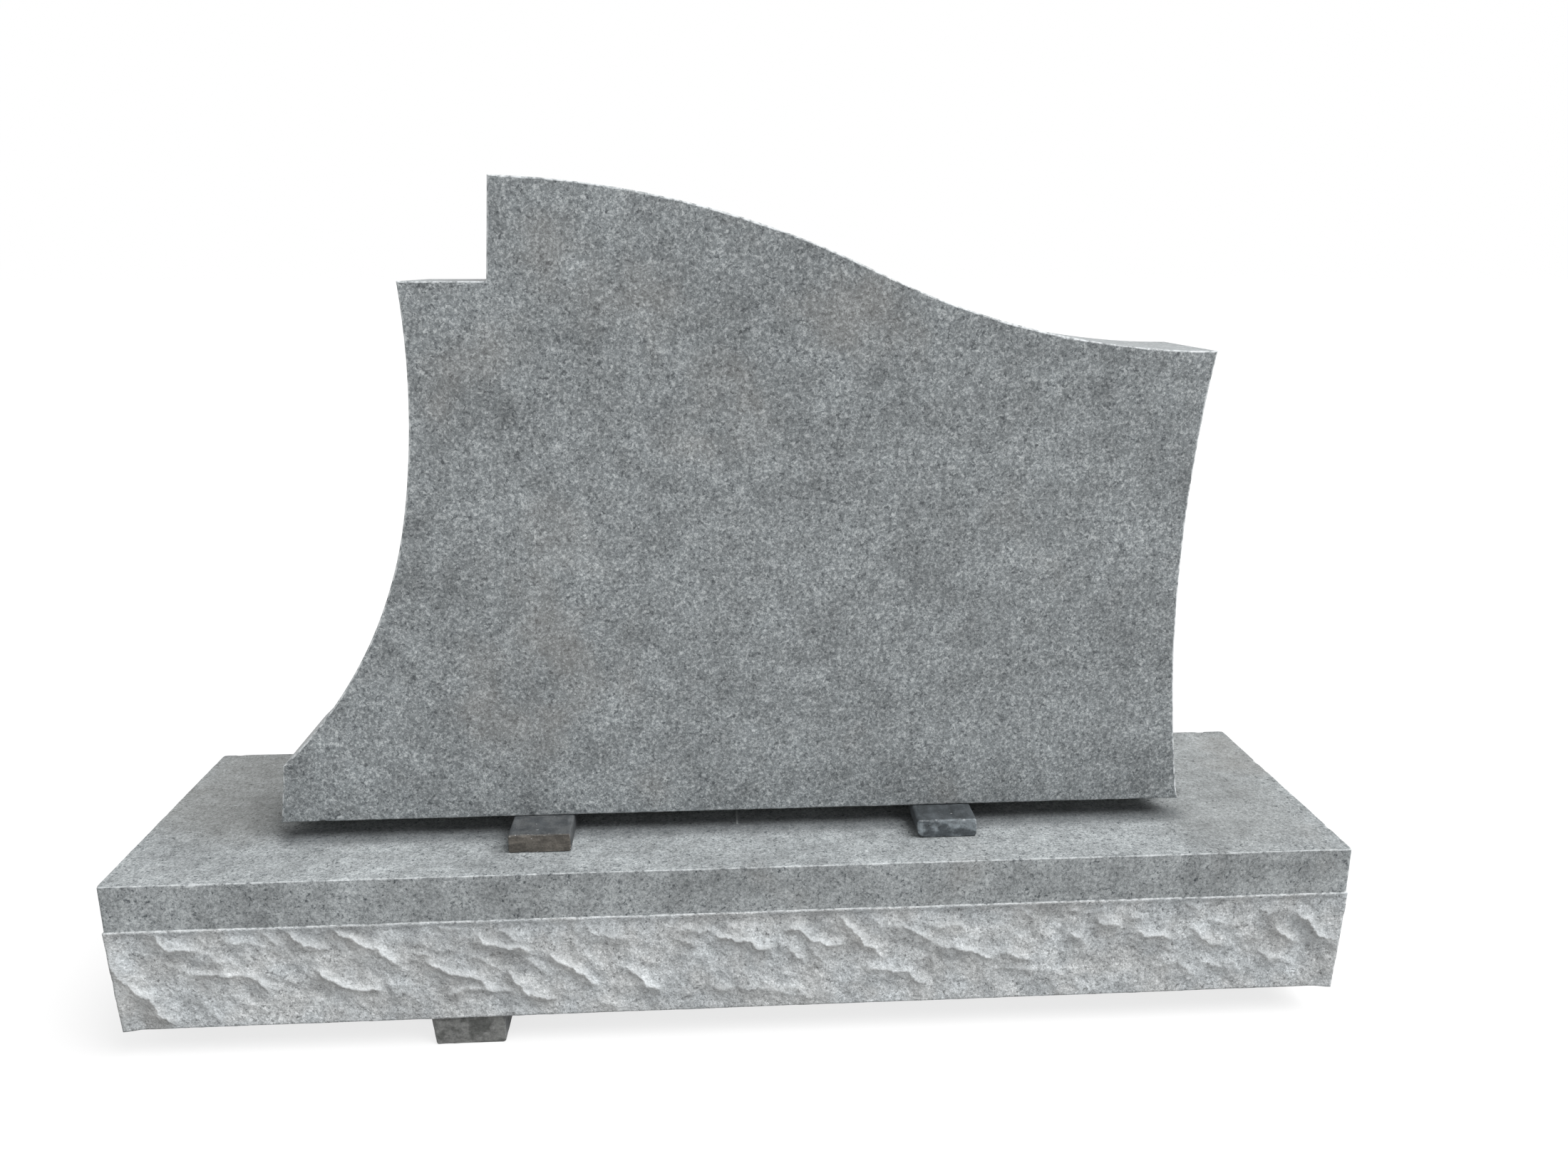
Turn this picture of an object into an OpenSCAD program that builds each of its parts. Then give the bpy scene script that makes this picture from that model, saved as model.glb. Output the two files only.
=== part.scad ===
// Granite headstone: a serpentine tablet on a rock-pitched base.
// The tablet stands on two spacers, and the base on two timber bearers.
// Millimetres. The origin is on the ground under the middle of the base,
// with +X along the base to the viewer's right, +Y to the back and +Z up.

/* [Base stone] */
// Length of the base along its margin
base_w = 1372; // [1240:1:1600]
// Depth of the base across its margin
base_d = 356; // [330:1:450]
// Height of the base
base_h = 178; // [140:1:230]
// Height of the smooth margin band under the top edge
margin_h = 54; // [30:1:70]
// Worn bevel round the top edge
base_arris = 2; // [1:0.5:4]

/* [Rock pitch] */
// How far the rock face stands out from the margin along the pitch line
rock_proud = 3; // [1:0.5:6]
// How far the foot of the rock face is set in from the pitch line
rock_batter = 4; // [0:1:20]
// Depth of the scallops that the pitching chisel broke out
scallop_depth = 9; // [0:1:18]
// Distance from one scallop's ridge to the next
scallop_pitch = 88; // [60:1:140]
// Angle at which the ridges fall to the right
scallop_fall = 36; // [20:1:50]
// Depth broken away at the foot of each upright corner
corner_spall = 6; // [0:1:20]
// Size of one facet of the rock face
facet = 12; // [12:1:30]

/* [Tablet] */
// Width of the tablet along its foot
tablet_w = 1043; // [960:1:1150]
// Height of the tablet at the crest of its serpentine top
tablet_h = 702; // [670:1:800]
// Height of the tablet at its low right end
low_h = 524; // [460:1:560]
// Thickness of the tablet
tablet_t = 160; // [100:1:200]
// Part of the serpentine's length that is the rounded crest
crest_share = 0.53; // [0.4:0.01:0.6]
// How far the crest of the curve lies to the left of the step
crest_lead = 24; // [0:1:60]
// How far the tablet stands to the right of the base's middle, less than 0 to the left
tablet_shift = -2; // [-20:1:20]

/* [Step and sides] */
// Height of the shoulder at the foot of the step
shoulder_h = 598; // [540:1:640]
// Width of the shoulder
shoulder_w = 91; // [60:1:130]
// How far the step's riser leans to the right
riser_lean = 7; // [0:1:12]
// Height of the toe at the foot of the left side
toe_h = 69; // [40:1:100]
// How far the toe leans to the right
toe_lean = 9; // [0:1:20]
// Height at which the left side is hollowed deepest
waist_h = 517; // [480:1:530]
// Radius of the left side about its waist
side_r = 900; // [820:1:1100]
// Radius of the left side where it flares to the toe
flare_r = 515; // [480:1:560]
// Angle below the waist at which the flare takes over
flare_angle = 10.5; // [6:0.5:16]
// Depth of the hollow in the right side
right_hollow = 21; // [8:1:40]

/* [Spacers] */
// Width of each spacer
spacer_w = 70; // [50:1:100]
// Height of each spacer
spacer_h = 22; // [15:1:40]
// Distance between the two spacers
spacer_gap = 392; // [300:1:520]
// How far the pair of spacers lies to the right of the base's middle, less than 0 to the left
spacer_shift = 4; // [-20:1:20]
// How far the left spacer stands out in front of the tablet
left_spacer_out = 48; // [0:1:60]
// How far the right spacer stands out in front of the tablet
right_spacer_out = 40; // [0:1:60]
// How far each spacer stands out behind the tablet
spacer_tail = 30; // [0:1:60]
// Worn radius along the left spacer's edges
left_spacer_worn = 3; // [1:0.5:6]
// Worn radius along the right spacer's edges
right_spacer_worn = 4; // [1:0.5:7]
// Radius to which the right spacer's lower left edge is worn away
right_spacer_heel = 11; // [4:1:14]

/* [Bearers] */
// Width of each bearer
bearer_w = 95; // [70:1:120]
// Height of each bearer
bearer_h = 36; // [25:1:60]
// Length of each bearer from front to back
bearer_l = 286; // [240:1:300]
// Distance between the two bearers
bearer_gap = 540; // [400:1:700]
// How far the left bearer's end is set in from the base's front
left_bearer_set = 10; // [0:1:30]
// How far the right bearer's end is set in from the base's back
right_bearer_set = 4; // [0:1:30]
// Worn radius along the bearers' edges
bearer_worn = 4; // [1:0.5:8]
// How far in the outer front corner of each bearer is cut away
bearer_cut = 17; // [5:1:30]
// How far back that cut runs
bearer_cut_l = 50; // [20:1:90]

/* [Hidden] */
$fn = 48;
long_arc_fn = 720;

// How far a cutter reaches past what it cuts
over = 1;

// Levels
base_z = bearer_h;
spacer_z = base_z + base_h;
tablet_z = spacer_z + spacer_h;

// Left side: the flare's arc carries on from the waist's arc, tangent where they meet
waist_x = -tablet_w / 2 + toe_lean - toe_from_waist();
side_centre = [waist_x - side_r, waist_h];
flare_centre = side_centre + (side_r - flare_r) * [cos(flare_angle), -sin(flare_angle)];
flare_top_h = waist_h - side_r * sin(flare_angle);

// Step
riser_x = waist_x + shoulder_from_waist() + shoulder_w;
riser_top_x = riser_x + riser_lean;

// Serpentine: two arcs, level at both ends and tangent where they meet
crest_x = riser_top_x - crest_lead;
serpentine_run = tablet_w / 2 - crest_x;
serpentine_angle = 2 * atan((tablet_h - low_h) / serpentine_run);
crest_run = crest_share * serpentine_run;
crest_r = crest_run / sin(serpentine_angle);
dip_r = (serpentine_run - crest_run) / sin(serpentine_angle);
crest_centre = [crest_x, tablet_h - crest_r];
dip_centre = [tablet_w / 2, low_h + dip_r];
turn_x = crest_x + crest_run;
turn_h = tablet_h - crest_r * (1 - cos(serpentine_angle));

// Right side: one shallow arc from top to foot
hollow_r = (pow(low_h / 2, 2) + pow(right_hollow, 2)) / (2 * right_hollow);

// Rock face: wide scallops with finer ones across them, weakest near the upright corners
wide_share = 0.65;
fine_pitch = 0.6 * scallop_pitch;
fine_stretch = 1.3;
ridge_power = 1.6;
corner_reach = 48;
corner_share = 0.35;
deep_from = 0.25;

// Rock face: stations along each side of the base, and rows from foot to pitch line
rock_h = base_h - margin_h;
lip_h = rock_h - rock_proud;
side_length = [base_w, base_d, base_w, base_d];
columns = [for (length = side_length) round(length / facet)];
rows = round(lip_h / facet);
corner = [for (s = [[-1, -1], [1, -1], [1, 1], [-1, 1]]) [s.x * base_w / 2, s.y * base_d / 2]];
outward = [[0, -1], [1, 0], [0, 1], [-1, 0]];

// Sideways distance from the waist of the left side to its shoulder
function shoulder_from_waist() = sqrt(pow(side_r, 2) - pow(shoulder_h - waist_h, 2)) - side_r;

// Sideways distance from the waist of the left side to the top of its toe
function toe_from_waist() =
    let (
        centre_x = (side_r - flare_r) * cos(flare_angle) - side_r,
        centre_h = waist_h - (side_r - flare_r) * sin(flare_angle)
    )
    centre_x + sqrt(pow(flare_r, 2) - pow(toe_h - centre_h, 2));

// Depth behind a ridge, from 0 to 1 over each whole step of x, steepest just behind the ridge
function shingle(x) = 1 - pow(1 - x + floor(x), ridge_power);

// Slow wander that keeps the ridges from running straight, in parts of their pitch
function wander(along, up) =
    0.30 * sin(1.9 * along + 70 * sin(2.1 * up)) + 0.22 * sin(0.7 * along - 3.1 * up + 110);

// Count of ridges crossed on the way to a point of a rock face
function ridges(along, up, pitch) =
    (along * sin(scallop_fall) + up * cos(scallop_fall)) / pitch + wander(along, up);

// Depth of the scallops at a point of a rock face, as a part of the full depth
function scallop(along, up) =
    wide_share * shingle(ridges(along, up, scallop_pitch))
    + (1 - wide_share) * shingle(ridges(fine_stretch * along, up, fine_pitch));

// How far a point of side k stands out from the margin
function stand_out(k, part, up) =
    let (
        along = k * base_w + part * side_length[k],
        below = 1 - up / lip_h,
        to_corner = min(part, 1 - part) * side_length[k],
        near = max(0, 1 - to_corner / corner_reach),
        depth = scallop_depth * min(1, below / deep_from) * (1 - (1 - corner_share) * near)
    )
    rock_proud - rock_batter * pow(below, 2) - depth * scallop(along, up) - corner_spall * near * below;

// Point at a station of side k, moved out from the margin by a distance
function station(k, part, out) =
    let (
        here = corner[k] + part * (corner[(k + 1) % 4] - corner[k]),
        way = part == 0 ? outward[k] + outward[(k + 3) % 4] : outward[k]
    )
    here + out * way;

// One ring of points round the base at a height, on the rock face
function rock_ring(up) = [
    for (k = [0:3], j = [0:columns[k] - 1])
        let (part = j / columns[k], p = station(k, part, stand_out(k, part, up)))
        [p.x, p.y, base_z + up]
];

// The ring of points along the foot of the margin
function margin_ring() = [
    for (k = [0:3], j = [0:columns[k] - 1])
        let (p = station(k, j / columns[k], 0))
        [p.x, p.y, base_z + rock_h]
];

// Four corners round the top of the base, drawn in by a distance
function top_corners(inset, up) = [
    for (c = corner) [c.x - sign(c.x) * inset, c.y - sign(c.y) * inset, base_z + up]
];

// Running total of the stations before side k
function first_station(k) = k == 0 ? 0 : first_station(k - 1) + columns[k - 1];

module base_stone() {
    around = first_station(4);
    rock = [for (r = [0:rows]) each rock_ring(lip_h * r / rows)];
    margin_at = (rows + 1) * around;
    edge_at = margin_at + around;
    top_at = edge_at + 4;
    points = [
        each rock,
        each margin_ring(),
        each top_corners(0, base_h - base_arris),
        each top_corners(base_arris, base_h)
    ];
    rock_faces = [
        for (r = [0:rows], j = [0:around - 1])
            let (
                low = r * around,
                high = low + around,
                next = (j + 1) % around
            )
            each [[low + j, high + j, low + next], [low + next, high + j, high + next]]
    ];
    margin_faces = [
        for (k = [0:3]) [
            edge_at + k,
            edge_at + (k + 1) % 4,
            for (j = [columns[k]:-1:0]) margin_at + (first_station(k) + j) % around
        ]
    ];
    arris_faces = [
        for (k = [0:3]) [edge_at + k, top_at + k, top_at + (k + 1) % 4, edge_at + (k + 1) % 4]
    ];
    color("darkgray") polyhedron(
        points,
        [
            [for (j = [0:around - 1]) j],
            each rock_faces,
            each margin_faces,
            each arris_faces,
            [for (k = [3:-1:0]) top_at + k]
        ]
    );
}

// Outline of the tablet, seen from the front with its foot at y = 0.
// The sides and top start oversize by a trim, and the arcs cut them back.
module tablet_outline() {
    trim = right_hollow;
    left_x = -tablet_w / 2;
    right_x = tablet_w / 2;
    top_h = tablet_h + trim;
    difference() {
        union() {
            // Toe, shoulder and step, under the rounded crest
            intersection() {
                polygon([
                    [left_x, 0],
                    [turn_x, 0],
                    [turn_x, top_h],
                    [riser_top_x, top_h],
                    [riser_top_x, tablet_h],
                    [riser_x, shoulder_h],
                    [left_x + toe_lean * shoulder_h / toe_h, shoulder_h]
                ]);
                translate(crest_centre) circle(crest_r, $fn = long_arc_fn);
            }
            // Right of the turn, under the dip
            difference() {
                polygon([
                    [crest_x, 0],
                    [right_x + trim, 0],
                    [right_x + trim, top_h],
                    [turn_x, top_h],
                    [turn_x, turn_h]
                ]);
                translate(dip_centre) circle(dip_r, $fn = long_arc_fn);
            }
        }
        // Left side: the flare, then the waist above it
        translate(flare_centre) circle(flare_r, $fn = long_arc_fn);
        intersection() {
            translate(side_centre) circle(side_r, $fn = long_arc_fn);
            translate([left_x - side_r, flare_top_h]) square([tablet_w + side_r, tablet_h]);
        }
        // Right side
        translate([right_x - right_hollow + hollow_r, low_h / 2]) circle(hollow_r, $fn = long_arc_fn);
    }
}

module tablet() {
    color("slategray")
        translate([tablet_shift, tablet_t / 2, tablet_z])
            rotate([90, 0, 0])
                linear_extrude(tablet_t) tablet_outline();
}

// A block with worn long edges, its foot at z = 0 and its length along y from 0.
// The heel is the radius of its lower left edge.
module worn_block(w, h, l, worn, heel) {
    translate([0, l, 0]) rotate([90, 0, 0]) linear_extrude(l) difference() {
        translate([-w / 2, 0]) square([w, h]);
        for (x = [-1, 1], y = [-1, 1])
            let (r = x < 0 && y < 0 ? heel : worn)
            translate([x * w / 2, (1 + y) * h / 2])
                difference() {
                    square(2 * r, center = true);
                    translate([-x * r, -y * r]) circle(r);
                }
    }
}

// A spacer under the tablet, at side -1 or 1 of the middle
module spacer(side, out, worn, heel) {
    translate([spacer_shift + side * (spacer_gap + spacer_w) / 2, -tablet_t / 2 - out, spacer_z])
        worn_block(spacer_w, spacer_h, tablet_t + out + spacer_tail, worn, heel);
}

module left_spacer() {
    color("rosybrown") spacer(-1, left_spacer_out, left_spacer_worn, left_spacer_worn);
}

module right_spacer() {
    color("dimgray") spacer(1, right_spacer_out, right_spacer_worn, right_spacer_heel);
}

// A bearer under the base, at side -1 or 1 of the middle, with its front end at y = front.
// Its outer front corner is cut away at a slant.
module bearer(side, front) {
    translate([side * (bearer_gap + bearer_w) / 2, front, 0]) difference() {
        worn_block(bearer_w, bearer_h, bearer_l, bearer_worn, bearer_worn);
        translate([side * bearer_w / 2, 0, -over]) linear_extrude(bearer_h + 2 * over) polygon([
            [side * over, -over],
            [side * over, bearer_cut_l * (1 + over / bearer_cut)],
            [-side * bearer_cut * (1 + over / bearer_cut_l), -over]
        ]);
    }
}

module left_bearer() {
    color("darkslategray") bearer(-1, -base_d / 2 + left_bearer_set);
}

module right_bearer() {
    color("darkslategray") bearer(1, base_d / 2 - right_bearer_set - bearer_l);
}

tablet();
base_stone();
left_spacer();
right_spacer();
left_bearer();
right_bearer();
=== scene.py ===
"""Looks of a granite headstone: a serpentine tablet on a rock-pitched base.

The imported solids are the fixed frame. Each stone and timber is rebuilt as a finer mesh in the
place of its own solid, with worn edges and a pitched face, and dressed in a procedural finish.
Lengths are metres, or millimetres where a name or a class says so.
"""

import logging
import math
from dataclasses import dataclass, field
from enum import Enum
from typing import Dict, List, Optional, Sequence, Tuple, Union

import bpy
import numpy as np
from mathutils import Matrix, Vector


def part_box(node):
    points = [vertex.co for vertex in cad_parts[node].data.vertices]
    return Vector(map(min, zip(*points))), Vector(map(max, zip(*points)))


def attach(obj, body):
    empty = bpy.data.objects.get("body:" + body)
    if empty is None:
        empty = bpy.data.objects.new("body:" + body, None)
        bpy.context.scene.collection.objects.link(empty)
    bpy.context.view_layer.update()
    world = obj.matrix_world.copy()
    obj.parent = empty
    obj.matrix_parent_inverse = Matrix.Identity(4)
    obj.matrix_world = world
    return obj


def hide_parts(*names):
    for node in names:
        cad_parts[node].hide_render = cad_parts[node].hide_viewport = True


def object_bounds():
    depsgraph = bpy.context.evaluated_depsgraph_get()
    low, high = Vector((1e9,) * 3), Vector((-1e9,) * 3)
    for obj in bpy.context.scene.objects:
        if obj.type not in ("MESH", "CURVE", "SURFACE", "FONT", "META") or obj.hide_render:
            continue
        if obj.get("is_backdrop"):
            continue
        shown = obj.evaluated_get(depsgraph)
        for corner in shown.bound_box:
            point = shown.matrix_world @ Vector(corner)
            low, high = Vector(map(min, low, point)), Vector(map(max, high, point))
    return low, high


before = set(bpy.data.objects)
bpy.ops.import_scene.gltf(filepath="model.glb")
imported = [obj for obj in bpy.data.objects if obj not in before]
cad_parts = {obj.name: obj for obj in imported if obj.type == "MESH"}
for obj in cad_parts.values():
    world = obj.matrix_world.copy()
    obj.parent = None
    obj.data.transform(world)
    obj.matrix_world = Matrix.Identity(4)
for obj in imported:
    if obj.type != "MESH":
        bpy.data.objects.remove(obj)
CAD_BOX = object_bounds()

log = logging.getLogger("headstone")

BODY = "root"
BASE_NODE = "base_stone"
MM = 0.001
WHITE = (1.0, 1.0, 1.0)
ROCK_PROUD = 3 * MM
BASE_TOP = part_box(BASE_NODE)[1].z
MARGIN_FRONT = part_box(BASE_NODE)[0].y + ROCK_PROUD

Colour = Tuple[float, float, float]
Spot = Tuple[float, float, float]
Point = Tuple[float, float]
Span = Tuple[float, float]
Level = Union[float, np.ndarray]
Key = Union[int, str]
Feed = Union["Wire", float, Tuple[float, ...]]


class Wire:
    """A socket that takes part in Python expressions, which add Math nodes."""

    def __init__(self, bench: "Bench", socket: bpy.types.NodeSocket) -> None:
        """Wraps an output socket of a node tree."""
        self.bench = bench
        self.socket = socket

    def _math(self, operation: str, first: Feed, second: Feed) -> "Wire":
        """Adds one Math node and returns its result."""
        return self.bench.node("ShaderNodeMath", {"operation": operation}, {0: first, 1: second})

    def __add__(self, other: Feed) -> "Wire":
        """Sum of two values."""
        return self._math("ADD", self, other)

    def __radd__(self, other: Feed) -> "Wire":
        """Sum, with the plain number first."""
        return self._math("ADD", other, self)

    def __sub__(self, other: Feed) -> "Wire":
        """Difference of two values."""
        return self._math("SUBTRACT", self, other)

    def __rsub__(self, other: Feed) -> "Wire":
        """Difference, with the plain number first."""
        return self._math("SUBTRACT", other, self)

    def __mul__(self, other: Feed) -> "Wire":
        """Product of two values."""
        return self._math("MULTIPLY", self, other)

    def __rmul__(self, other: Feed) -> "Wire":
        """Product, with the plain number first."""
        return self._math("MULTIPLY", other, self)

    def most(self, other: Feed) -> "Wire":
        """The larger of two values."""
        return self._math("MAXIMUM", self, other)

    def rise(self, low: float, high: float) -> "Wire":
        """Smooth step of the value.

        Args:
            low: Value at which the step starts from 0.
            high: Value at which it reaches 1. It may be less than low.

        Returns:
            A value from 0 to 1.
        """
        limits = {"Value": self, "From Min": low, "From Max": high}
        return self.bench.node("ShaderNodeMapRange", {"interpolation_type": "SMOOTHSTEP"}, limits)


class Bench:
    """A node tree in the making."""

    def __init__(self, tree: bpy.types.NodeTree) -> None:
        """Clears the tree, so that every node in it is made here."""
        self.tree = tree
        tree.nodes.clear()

    @staticmethod
    def _find(sockets: Sequence[bpy.types.NodeSocket], key: Key) -> bpy.types.NodeSocket:
        """Finds a socket by its index, its identifier or its name."""
        if isinstance(key, int):
            return sockets[key]
        return next((s for s in sockets if s.identifier == key), None) or sockets[key]

    @staticmethod
    def _set_stops(ramp: bpy.types.ColorRamp, stops: Sequence[Tuple[float, Colour]]) -> None:
        """Gives a colour ramp its stops.

        Args:
            ramp: The ramp of a node.
            stops: Place and colour of each stop, in order.
        """
        while len(ramp.elements) < len(stops):
            ramp.elements.new(1.0)
        for element, (place, colour) in zip(ramp.elements, stops):
            element.position = place
            element.color = (*colour, 1.0)

    def node(
        self,
        kind: str,
        settings: Optional[Dict[str, object]] = None,
        feeds: Optional[Dict[Key, Feed]] = None,
        output: Key = 0,
    ) -> Optional[Wire]:
        """Adds a node.

        Args:
            kind: The node's type.
            settings: What is set on the node first. Stops are those of its colour ramp.
            feeds: Values or wires for its sockets, by index, identifier or name.
            output: The output that is wanted.

        Returns:
            A wire from that output, or None for a node that has none.
        """
        node = self.tree.nodes.new(kind)
        for name, value in (settings or {}).items():
            if name == "stops":
                self._set_stops(node.color_ramp, value)
            else:
                setattr(node, name, value)
        for key, value in (feeds or {}).items():
            socket = self._find(node.inputs, key)
            if isinstance(value, Wire):
                self.tree.links.new(value.socket, socket)
            elif socket.type == "RGBA":
                socket.default_value = (*value, 1.0)
            else:
                socket.default_value = value
        return Wire(self, self._find(node.outputs, output)) if node.outputs else None

    def mix(self, first: Feed, second: Feed, share: Feed) -> Wire:
        """Mixes two colours by the second one's share."""
        feeds = {"Factor_Float": share, "A_Color": first, "B_Color": second}
        return self.node("ShaderNodeMix", {"data_type": "RGBA"}, feeds, "Result_Color")

    def scale(self, vector: Feed, factor: Feed) -> Wire:
        """Multiplies a colour or vector by a value."""
        return self.node("ShaderNodeVectorMath", {"operation": "SCALE"}, {0: vector, "Scale": factor})

    def vector(self, operation: str, *operands: Feed, output: Key = 0) -> Wire:
        """Adds a Vector Math node, for its vector or for the output that is named."""
        settings = {"operation": operation}
        return self.node("ShaderNodeVectorMath", settings, dict(enumerate(operands)), output)

    def place(self) -> Wire:
        """The point of the surface, in the piece's own frame."""
        return self.node("ShaderNodeTexCoord", output="Object")

    def mark(self, name: str) -> Wire:
        """A value that the mesh carries on its points."""
        return self.node("ShaderNodeAttribute", {"attribute_name": name}, output="Fac")

    def noise(
        self, place: Wire, size: float, detail: float = 2.0, output: str = "Fac", curl: float = 0.0
    ) -> Wire:
        """Smooth noise whose features have about the given size.

        Args:
            place: The point of the surface.
            size: Size of the noise's features.
            detail: Count of finer layers in it.
            output: Fac for one value, or Color for three.
            curl: How far the features are drawn into curls.

        Returns:
            The noise, about 0.5 in the middle.
        """
        feeds = {"Vector": place, "Scale": 1.0 / size, "Detail": detail, "Distortion": curl}
        return self.node("ShaderNodeTexNoise", {}, feeds, output)

    def bump(self, height: Wire, depth: float, strength: float) -> Wire:
        """A normal that is bent by a height."""
        feeds = {"Height": height, "Distance": depth, "Strength": strength}
        return self.node("ShaderNodeBump", {}, feeds)

    def surface(self, feeds: Dict[Key, Feed]) -> None:
        """Ends the tree with a Principled shader that takes the given feeds."""
        shader = self.node("ShaderNodeBsdfPrincipled", {}, feeds)
        self.node("ShaderNodeOutputMaterial", {}, {"Surface": shader})


def new_material(name: str) -> Tuple[bpy.types.Material, Bench]:
    """Makes an empty material.

    Args:
        name: The material's name.

    Returns:
        The material and the bench of its node tree.
    """
    material = bpy.data.materials.new(name)
    material.use_nodes = True
    return material, Bench(material.node_tree)


def add_object(name: str, data: bpy.types.ID) -> bpy.types.Object:
    """Makes an object and links it to the scene.

    Args:
        name: The object's name.
        data: Its mesh, lamp or camera.

    Returns:
        The object.
    """
    made = bpy.data.objects.new(name, data)
    bpy.context.scene.collection.objects.link(made)
    return made


@dataclass(frozen=True)
class Stroke:
    """A line or a wide soft band on the stone: a hairline crack, a setting-out mark, or a band of
    painted shade.
    """

    points: Tuple[Spot, ...]
    colour: Colour
    strength: float
    width: float = 0.8 * MM
    shake: float = 3 * MM
    shake_size: float = 5 * MM
    core: float = 0.3

    def mask(self, bench: Bench, place: Wire) -> Wire:
        """How far a point lies inside the line.

        Args:
            bench: The tree that the nodes go into.
            place: The point of the surface.

        Returns:
            A value from 0 outside to 1 in the line.
        """
        wander = bench.noise(place, self.shake_size, 3.0, "Color")
        shaken = bench.vector("MULTIPLY_ADD", wander, (self.shake,) * 3, place)
        found = None
        for start, end in zip(self.points, self.points[1:]):
            first = Vector(start)
            run = Vector(end) - first
            offset = bench.vector("SUBTRACT", shaken, tuple(first))
            along = bench.vector("DOT_PRODUCT", offset, tuple(run / run.length_squared), output="Value")
            held = bench.node("ShaderNodeClamp", {}, {0: along})
            gap = bench.vector("SUBTRACT", offset, bench.scale(tuple(run), held))
            distance = bench.vector("LENGTH", gap, output="Value")
            near = distance.rise(self.width, self.core * self.width)
            found = near if found is None else found.most(near)
        return found


@dataclass(frozen=True)
class Granite:
    """Grey granite: grains, mottling, worn arrises, and a rock face where it was pitched."""

    name: str
    roughness: float
    gloss: float
    body: Colour
    grain_size: float
    contrast: float
    pitched: bool = False
    strokes: Tuple[Stroke, ...] = ()
    dark: Colour = (0.070, 0.078, 0.084)
    light: Colour = (0.470, 0.492, 0.498)
    warm: Colour = (0.265, 0.235, 0.205)
    # Pale crushed stone of the worn arrises; on the rock's crests it is also a painted highlight.
    crushed: Colour = (0.690, 0.715, 0.726)
    rock_body: Colour = (0.430, 0.448, 0.456)
    rock_dark: Colour = (0.152, 0.158, 0.160)
    rock_light: Colour = (0.790, 0.812, 0.824)
    # Colour of the rock's hollows: dirt, and painted shade under the ridges.
    rock_hollow_dirt_and_shade: Colour = (0.252, 0.250, 0.242)
    rock_cool: Colour = (0.986, 1.000, 1.012)
    rock_warm: Colour = (1.014, 1.000, 0.988)
    rock_contrast: float = 0.95
    rock_roughness: float = 0.85
    # Sizes of the patterns in the stone
    cloud_size: float = 95 * MM
    patch_size: float = 24 * MM
    stain_size: float = 140 * MM
    bruise_size: float = 34 * MM
    zone_size: float = 110 * MM
    tint_size: float = 45 * MM
    grit_size: float = 1.6 * MM
    chip_size: float = 3.0 * MM
    wear_size: float = 6 * MM
    # Shares of the patterns in the colour
    mottle: float = 0.7
    stain: float = 0.18
    # Shares of the hollow and crest marks: dirt with painted shade in the hollows, crushed stone with
    # painted highlight on the crests.
    hollow_dirt_and_shade: float = 0.7
    crest_crush_and_highlight: float = 0.7
    # Relief that is too fine for the mesh
    grain_depth: float = 0.25 * MM
    chip_depth: float = 1.6 * MM

    def _crystals(self, bench: Bench, place: Wire) -> Wire:
        """Random tone of the crystals.

        Args:
            bench: The tree that the nodes go into.
            place: The point of the surface.

        Returns:
            A tone from dark mica at 0 to white quartz at 1.
        """
        strokes = bench.noise(place, self.grain_size, 1.0, curl=0.9)
        grains = bench.noise(place, 2.2 * self.grain_size, 2.0, curl=0.5)
        mica = bench.noise(place, 1.7 * self.grain_size, 0.0, curl=1.0).rise(0.68, 0.76)
        quartz = bench.noise(place, 2.4 * self.grain_size, 1.0, curl=0.8).rise(0.66, 0.78)
        tone = 1.5 * (strokes - 0.5) + (grains - 0.5) - 0.42 * mica + 0.25 * quartz
        return 0.5 + self.contrast * tone

    def _shades(self, tone: Wire, dark: Colour, body: Colour, light: Colour) -> Wire:
        """Colours of the crystals by their tone."""
        stops = ((0.0, dark), (0.5, body), (1.0, light))
        return tone.bench.node("ShaderNodeValToRGB", {"stops": stops}, {"Fac": tone}, "Color")

    def _smooth_colour(self, bench: Bench, place: Wire, tone: Wire) -> Wire:
        """Colour of the sawn and polished faces.

        Args:
            bench: The tree that the nodes go into.
            place: The point of the surface.
            tone: The crystals' tone.

        Returns:
            The colour, mottled and a little stained.
        """
        colour = self._shades(tone, self.dark, self.body, self.light)
        cloud = bench.noise(place, self.cloud_size, 3.0) - 0.5
        patch = bench.noise(place, self.patch_size, 3.0) - 0.5
        colour = bench.scale(colour, 1.0 + self.mottle * cloud + self.mottle * patch)
        stain = bench.noise(place, self.stain_size, 4.0).rise(0.56, 0.74)
        return bench.mix(colour, self.warm, self.stain * stain)

    def _rock_colour(self, bench: Bench, place: Wire, tone: Wire) -> Wire:
        """Colour of the pitched face.

        Args:
            bench: The tree that the nodes go into.
            place: The point of the surface.
            tone: The crystals' tone.

        Returns:
            The colour, crushed pale with a painted highlight on the ridges, and dulled with dirt and
            painted shade in the hollows.
        """
        tone = 0.5 + self.rock_contrast * (tone - 0.5)
        colour = self._shades(tone, self.rock_dark, self.rock_body, self.rock_light)
        bruise = bench.noise(place, self.bruise_size, 4.0)
        zone = bench.noise(place, self.zone_size, 2.0)
        colour = bench.scale(colour, 0.25 + 1.00 * bruise + 0.50 * zone)
        tint = bench.noise(place, self.tint_size, 3.0).rise(0.35, 0.65)
        colour = bench.vector("MULTIPLY", colour, bench.mix(self.rock_cool, self.rock_warm, tint))
        # Painted shade, with some dirt, in the hollows under the ridges.
        colour = bench.mix(colour, self.rock_hollow_dirt_and_shade, self.hollow_dirt_and_shade * bench.mark("hollow"))
        # Pale crushed stone on the crests, which is also a painted highlight.
        return bench.mix(colour, self.crushed, self.crest_crush_and_highlight * bench.mark("crest"))

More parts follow.
